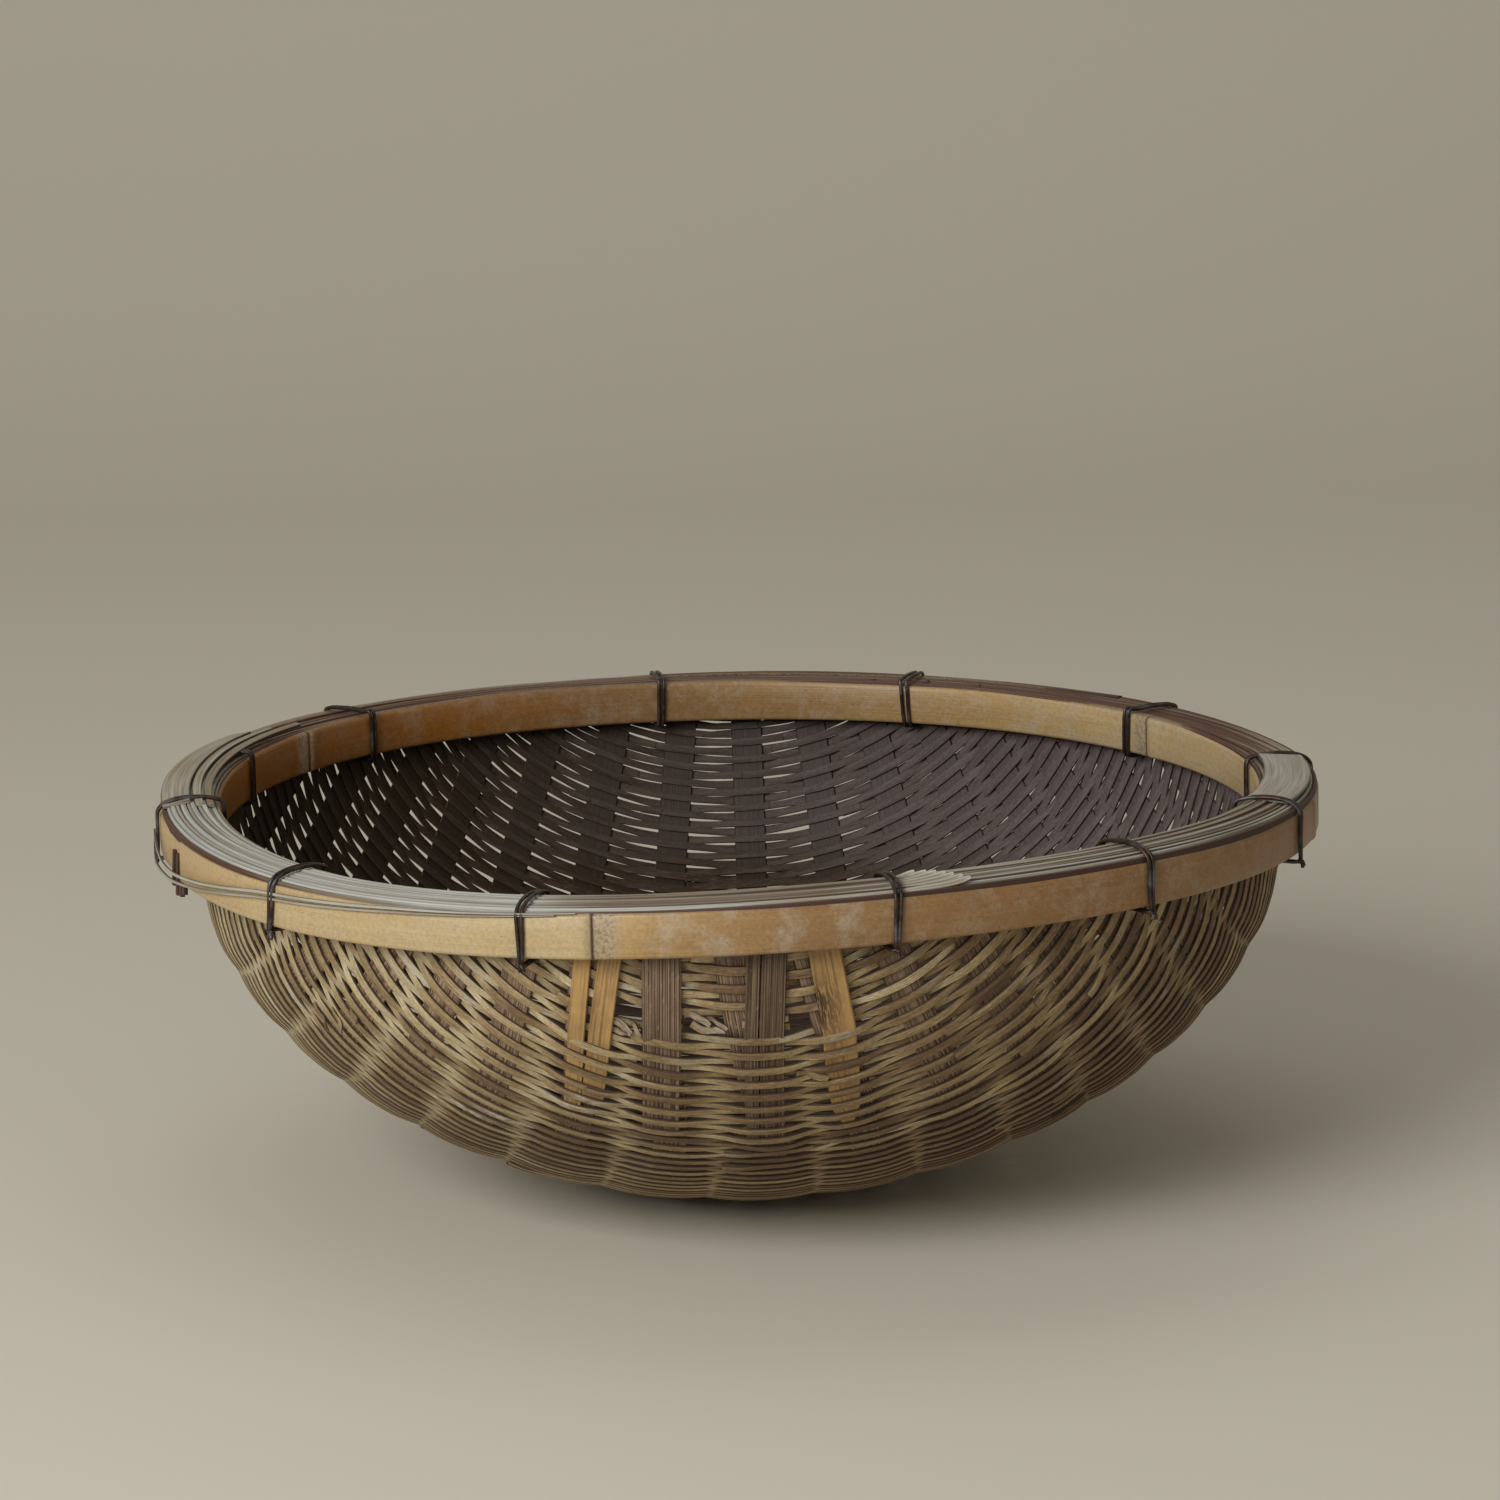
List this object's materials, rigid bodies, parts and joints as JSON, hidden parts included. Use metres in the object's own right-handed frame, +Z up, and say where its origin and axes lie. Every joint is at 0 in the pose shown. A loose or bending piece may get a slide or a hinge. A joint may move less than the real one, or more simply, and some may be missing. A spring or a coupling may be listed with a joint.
{
  "type": "bamboo draining basket",
  "caption": "Round, shallow draining basket woven from split bamboo over flat ribs, its rim held between split hoops that wire loops bind together.",
  "frame": {"origin": "centre of the middle weft's flat underside, on which the basket stands, on the axis of the hoops", "axes": "+Z up along the hoops' axis, -Y towards the front, where the folded rib ends hang outside, +X to the right; the ribs run from front to back, turned by 1.2 degrees"},
  "size_m": [0.3426, 0.3403, 0.1218],
  "materials": {
    "hoop": "smooth bamboo skin, worn satin",
    "rib": "dry, fibrous",
    "weft": "dry, fibrous",
    "filler": "weathered, matt",
    "wire": "dark, dull"
  },
  "bodies": {
    "root": {"rib_01": "rib", "rib_02": "rib", "rib_03": "rib", "rib_04": "rib", "rib_05": "rib", "rib_06": "rib", "rib_07": "rib", "rib_08": "rib", "rib_09": "rib", "rib_10": "rib", "rib_11": "rib", "rib_12": "rib", "rib_13": "rib", "rib_14": "rib", "rib_15": "rib", "weft_strip_01": "weft", "weft_strip_02": "weft", "weft_strip_03": "weft", "weft_strip_04": "weft", "weft_strip_05": "weft", "weft_strip_06": "weft", "weft_strip_07": "weft", "weft_strip_08": "weft", "weft_strip_09": "weft", "weft_strip_10": "weft", "weft_strip_11": "weft", "weft_strip_12": "weft", "weft_strip_13": "weft", "weft_strip_14": "weft", "weft_strip_15": "weft", "weft_strip_16": "weft", "weft_strip_17": "weft", "weft_strip_18": "weft", "weft_strip_19": "weft", "outer_hoop": "hoop", "inner_hoop": "hoop", "rim_filler_1": "filler", "rim_filler_2": "filler", "rim_filler_3": "filler", "rim_filler_4": "filler", "rim_filler_5": "filler", "wire_tie_01": "wire", "wire_tie_02": "wire", "wire_tie_03": "wire", "wire_tie_04": "wire", "wire_tie_05": "wire", "wire_tie_06": "wire", "wire_tie_07": "wire", "wire_tie_08": "wire", "wire_tie_09": "wire", "wire_tie_10": "wire", "wire_tie_11": "wire", "wire_tie_12": "wire"}
  },
  "joints": []
}
